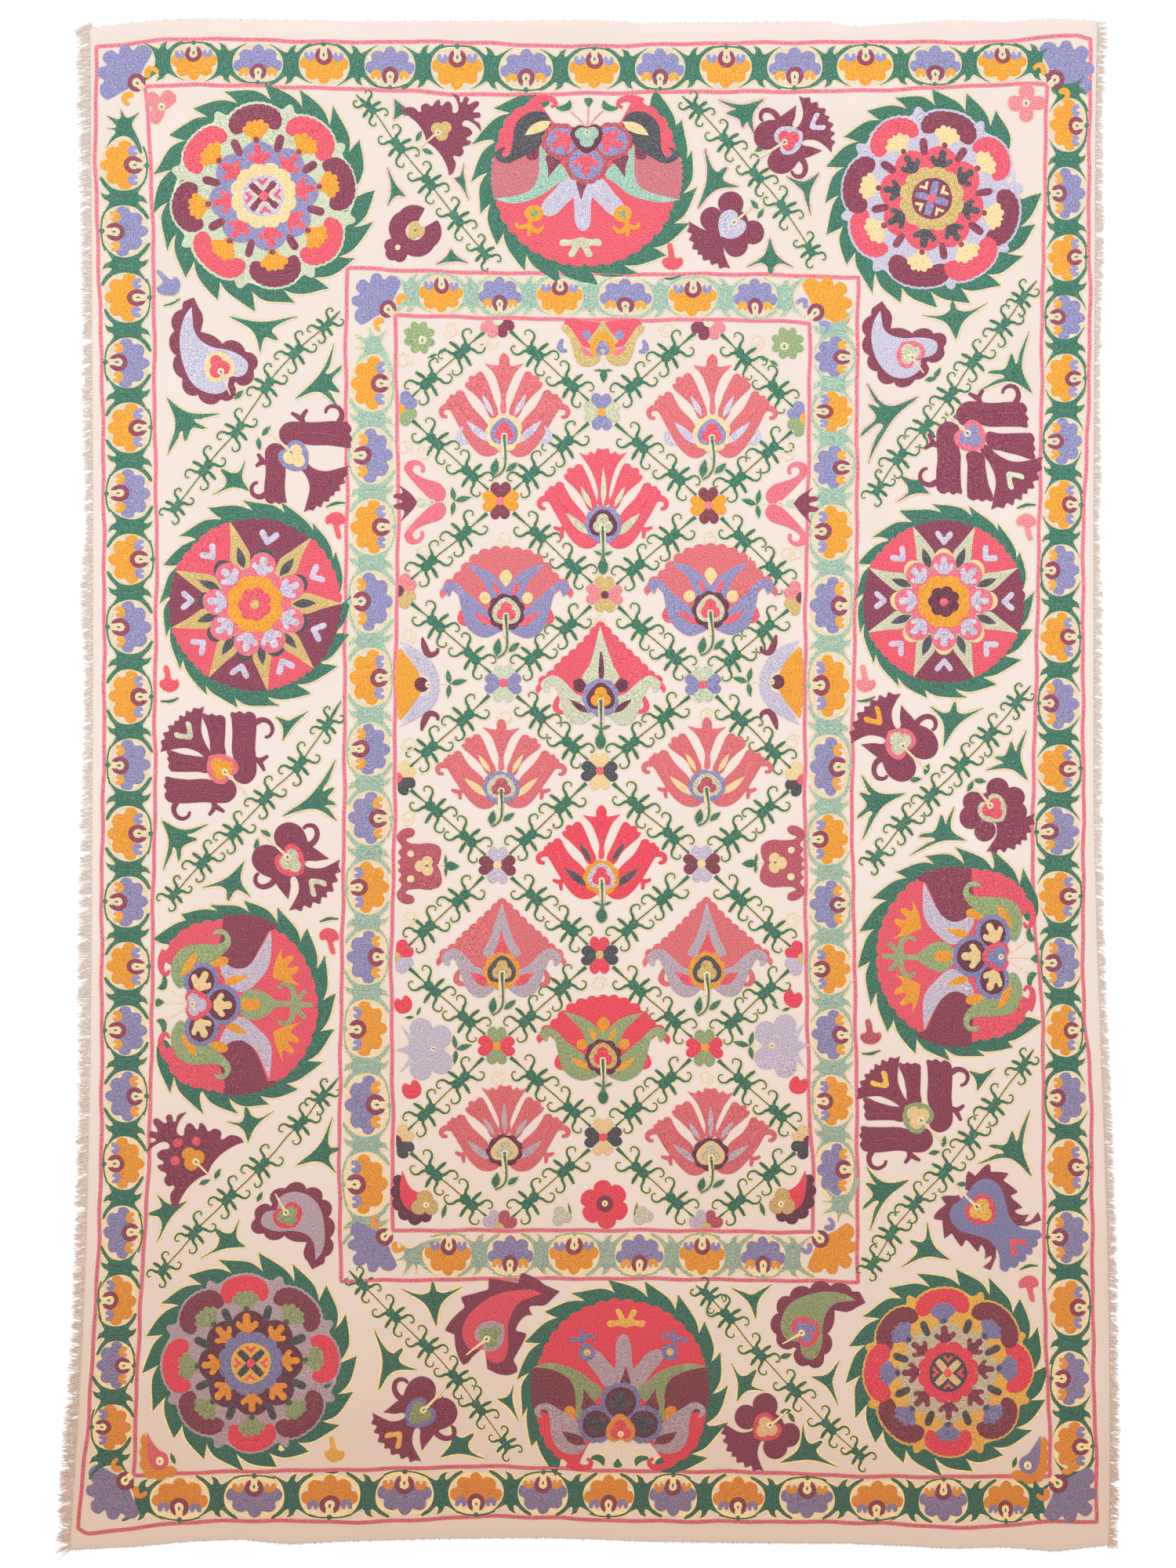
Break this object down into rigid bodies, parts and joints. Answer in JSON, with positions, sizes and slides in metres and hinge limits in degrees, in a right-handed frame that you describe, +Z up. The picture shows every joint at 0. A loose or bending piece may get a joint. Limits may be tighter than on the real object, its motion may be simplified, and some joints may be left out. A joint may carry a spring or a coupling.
{
  "type": "suzani embroidered textile",
  "caption": "Large flat embroidered cotton cloth, taller than wide, with raw ends and short frayed fringe down both long sides.",
  "frame": {"origin": "on the floor, under the centre of the whole outline", "axes": "+Y towards the cloth's head along its long sides, +X across it, +Z up out of the embroidered face"},
  "size_m": [1.4952, 2.1464, 0.0053],
  "materials": {
    "embroidered_cotton": "matt plain-woven cotton, densely worked in coloured silk chain stitch",
    "frayed_cotton": "matt loose cotton threads"
  },
  "bodies": {
    "root": {"ground_cloth": "embroidered_cotton", "fringe_left": "frayed_cotton", "fringe_right": "frayed_cotton"}
  },
  "joints": []
}
